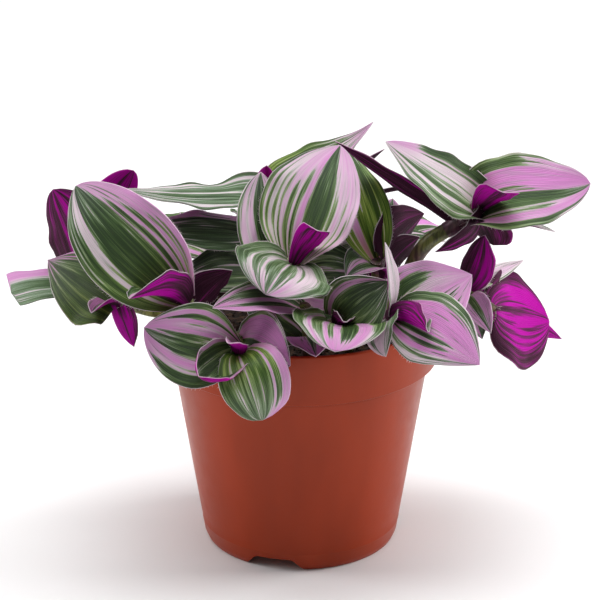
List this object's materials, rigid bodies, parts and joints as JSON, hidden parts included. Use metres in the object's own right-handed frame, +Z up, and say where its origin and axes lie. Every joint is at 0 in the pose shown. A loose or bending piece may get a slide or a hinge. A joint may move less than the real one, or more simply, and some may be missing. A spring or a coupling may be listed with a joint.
{
  "type": "potted tradescantia",
  "caption": "Bushy potted tradescantia with striped pink and green leaves on short stems in a round plastic nursery pot.",
  "frame": {"origin": "middle of the pot's base, on the surface that it stands on", "axes": "+Z up along the pot's axis, -Y towards the plant's front, +X to the right seen from the front"},
  "size_m": [0.2341, 0.1899, 0.1845],
  "materials": {
    "pot_plastic": "satin terracotta-coloured plastic",
    "soil": "dark crumbly potting soil",
    "foliage": "satin leaves striped dark green, pale green and pink, with magenta undersides"
  },
  "bodies": {
    "root": {"pot": "pot_plastic", "soil": "soil", "shoot_left_high": "foliage", "shoot_left_low": "foliage", "shoot_left_back": "foliage", "shoot_top_left": "foliage", "shoot_centre": "foliage", "shoot_centre_right": "foliage", "shoot_front_middle": "foliage", "shoot_front_right": "foliage", "shoot_right_high": "foliage", "shoot_right_low": "foliage", "shoot_front_left": "foliage", "shoot_front": "foliage", "shoot_back_left": "foliage", "shoot_back": "foliage", "shoot_back_right": "foliage", "shoot_back_middle": "foliage"}
  },
  "joints": []
}
